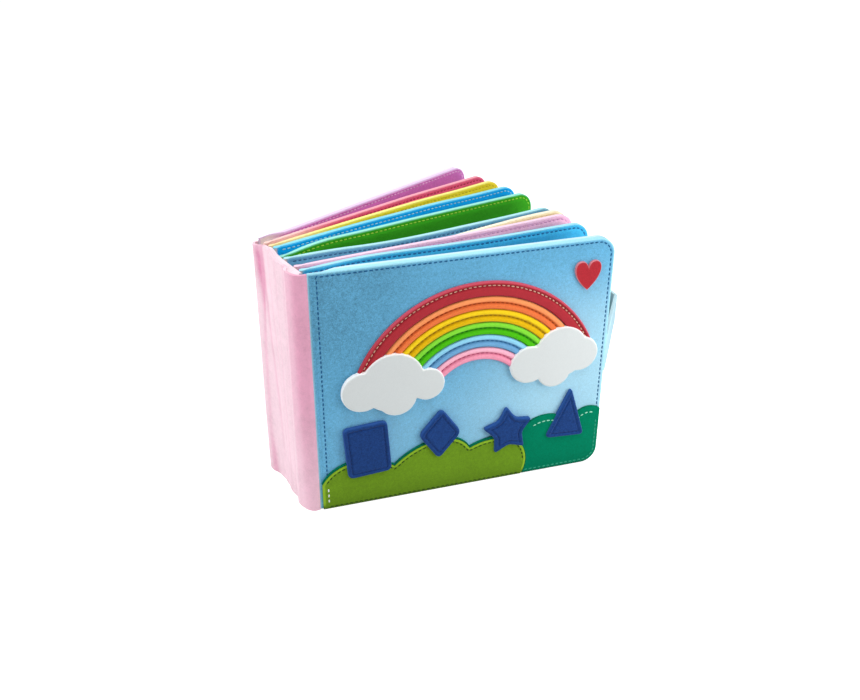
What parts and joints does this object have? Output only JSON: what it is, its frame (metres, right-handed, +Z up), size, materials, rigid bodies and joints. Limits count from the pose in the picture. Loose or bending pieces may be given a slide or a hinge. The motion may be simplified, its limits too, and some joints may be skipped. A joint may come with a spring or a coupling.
{
  "type": "quiet book",
  "caption": "Felt quiet book standing fanned open: plush cloth spine, padded felt covers and pages that turn on it, rainbow applique on the front cover and a closing strap.",
  "frame": {"origin": "on the surface that the book stands on, under the middle of its box", "axes": "+X from the spine to the fore-edge along the middle of the fan, +Y towards the back cover, +Z up"},
  "size_m": [0.2914, 0.1964, 0.188],
  "materials": {
    "pink_plush": "soft short-pile plush cloth",
    "pink_lining": "plain woven lining",
    "sky_blue_felt": "matte heathered felt",
    "pale_blue_felt": "matte felt",
    "rainbow_red_felt": "matte felt with a sewn line",
    "rainbow_orange_felt": "matte felt with a sewn line",
    "rainbow_yellow_felt": "matte felt with a sewn line",
    "rainbow_green_felt": "matte felt with a sewn line",
    "rainbow_blue_felt": "matte felt with a sewn line",
    "rainbow_pink_felt": "matte felt with a sewn line",
    "cloud_white_felt": "smooth white felt",
    "light_green_felt": "matte felt",
    "dark_green_felt": "matte felt",
    "deep_blue_felt": "matte felt",
    "red_felt": "matte felt",
    "page_1_front_felt": "matte felt",
    "page_1_back_felt": "matte felt",
    "page_2_front_felt": "matte felt",
    "page_2_back_felt": "matte felt",
    "page_3_front_felt": "matte felt",
    "page_3_back_felt": "matte felt",
    "page_4_front_felt": "matte felt",
    "page_4_back_felt": "matte felt",
    "page_5_front_felt": "matte felt",
    "page_5_back_felt": "matte felt",
    "page_6_front_felt": "matte felt",
    "page_6_back_felt": "matte felt",
    "page_7_front_felt": "matte felt",
    "page_7_back_felt": "matte felt",
    "page_8_front_felt": "matte felt",
    "page_8_back_felt": "matte felt",
    "lavender_felt": "matte felt",
    "purple_felt": "matte felt",
    "loop_tape": "soft loop tape",
    "strap_felt": "matte felt",
    "hook_tape": "fine hook tape"
  },
  "bodies": {
    "spine": {"spine_cloth_front": "pink_plush", "spine_cloth_rear": "pink_plush", "spine_lining": "pink_lining"},
    "front_cover": {"front_cover_outer_felt": "sky_blue_felt", "front_cover_lining_felt": "pale_blue_felt", "rainbow_red": "rainbow_red_felt", "rainbow_orange": "rainbow_orange_felt", "rainbow_yellow": "rainbow_yellow_felt", "rainbow_green": "rainbow_green_felt", "rainbow_blue": "rainbow_blue_felt", "rainbow_pink": "rainbow_pink_felt", "cloud_left": "cloud_white_felt", "cloud_right": "cloud_white_felt", "hill_light": "light_green_felt", "hill_dark": "dark_green_felt", "shape_square": "deep_blue_felt", "shape_diamond": "deep_blue_felt", "shape_star": "deep_blue_felt", "shape_triangle": "deep_blue_felt", "shape_heart": "red_felt"},
    "page_1": {"page_1_front": "page_1_front_felt", "page_1_back": "page_1_back_felt"},
    "page_2": {"page_2_front": "page_2_front_felt", "page_2_back": "page_2_back_felt"},
    "page_3": {"page_3_front": "page_3_front_felt", "page_3_back": "page_3_back_felt"},
    "page_4": {"page_4_front": "page_4_front_felt", "page_4_back": "page_4_back_felt"},
    "page_5": {"page_5_front": "page_5_front_felt", "page_5_back": "page_5_back_felt"},
    "page_6": {"page_6_front": "page_6_front_felt", "page_6_back": "page_6_back_felt"},
    "page_7": {"page_7_front": "page_7_front_felt", "page_7_back": "page_7_back_felt"},
    "page_8": {"page_8_front": "page_8_front_felt", "page_8_back": "page_8_back_felt"},
    "back_cover": {"back_cover_outer_felt": "lavender_felt", "back_cover_lining_felt": "purple_felt", "strap_loop_patch": "loop_tape"},
    "strap_side": {"strap_side": "strap_felt"},
    "strap_end": {"strap_end": "strap_felt", "strap_hook_patch": "hook_tape"}
  },
  "joints": [
    {"name": "front_cover_open", "type": "hinge", "parent": "spine", "child": "front_cover", "pos_m": [-0.13489, -0.03631, 0.094], "axis": [0, 0, 1], "range_deg": [-74.35, 15.65]},
    {"name": "page_1_turn", "type": "hinge", "parent": "spine", "child": "page_1", "pos_m": [-0.13489, -0.02581, 0.094], "axis": [0, 0, 1], "range_deg": [-42.4, 9]},
    {"name": "page_2_turn", "type": "hinge", "parent": "spine", "child": "page_2", "pos_m": [-0.13489, -0.01821, 0.094], "axis": [0, 0, 1], "range_deg": [-25.8, 5.5]},
    {"name": "page_3_turn", "type": "hinge", "parent": "spine", "child": "page_3", "pos_m": [-0.13489, -0.01061, 0.094], "axis": [0, 0, 1], "range_deg": [-24.4, 5.2]},
    {"name": "page_4_turn", "type": "hinge", "parent": "spine", "child": "page_4", "pos_m": [-0.13489, -0.00301, 0.094], "axis": [0, 0, 1], "range_deg": [-22, 4.7]},
    {"name": "page_5_turn", "type": "hinge", "parent": "spine", "child": "page_5", "pos_m": [-0.13489, 0.00459, 0.094], "axis": [0, 0, 1], "range_deg": [-2.6, 11.8]},
    {"name": "page_6_turn", "type": "hinge", "parent": "spine", "child": "page_6", "pos_m": [-0.13489, 0.01219, 0.094], "axis": [0, 0, 1], "range_deg": [-5.7, 26.5]},
    {"name": "page_7_turn", "type": "hinge", "parent": "spine", "child": "page_7", "pos_m": [-0.13489, 0.01979, 0.094], "axis": [0, 0, 1], "range_deg": [-8.5, 39.8]},
    {"name": "page_8_turn", "type": "hinge", "parent": "spine", "child": "page_8", "pos_m": [-0.13489, 0.02739, 0.094], "axis": [0, 0, 1], "range_deg": [-10.8, 50.7]},
    {"name": "back_cover_open", "type": "hinge", "parent": "spine", "child": "back_cover", "pos_m": [-0.13489, 0.03789, 0.094], "axis": [0, 0, 1], "range_deg": [-15.7, 74.4]},
    {"name": "strap_fold", "type": "hinge", "parent": "front_cover", "child": "strap_side", "pos_m": [0.07923, -0.09328, 0.094], "axis": [0, 0, 1], "range_deg": [-58, 32]},
    {"name": "strap_end_fold", "type": "hinge", "parent": "strap_side", "child": "strap_end", "pos_m": [0.13599, -0.04154, 0.094], "axis": [0, 0, 1], "range_deg": [-34, 56]}
  ],
  "couplings": [
    {"joint": "page_1_turn", "follows": "front_cover_open", "ratio": 0.56869},
    {"joint": "page_2_turn", "follows": "front_cover_open", "ratio": 0.34505},
    {"joint": "page_3_turn", "follows": "front_cover_open", "ratio": 0.32588},
    {"joint": "page_4_turn", "follows": "front_cover_open", "ratio": 0.29393},
    {"joint": "page_5_turn", "follows": "front_cover_open", "ratio": -0.15655},
    {"joint": "page_6_turn", "follows": "front_cover_open", "ratio": -0.35463},
    {"joint": "page_7_turn", "follows": "front_cover_open", "ratio": -0.53355},
    {"joint": "page_8_turn", "follows": "front_cover_open", "ratio": -0.68051},
    {"joint": "back_cover_open", "follows": "front_cover_open", "ratio": -1}
  ]
}
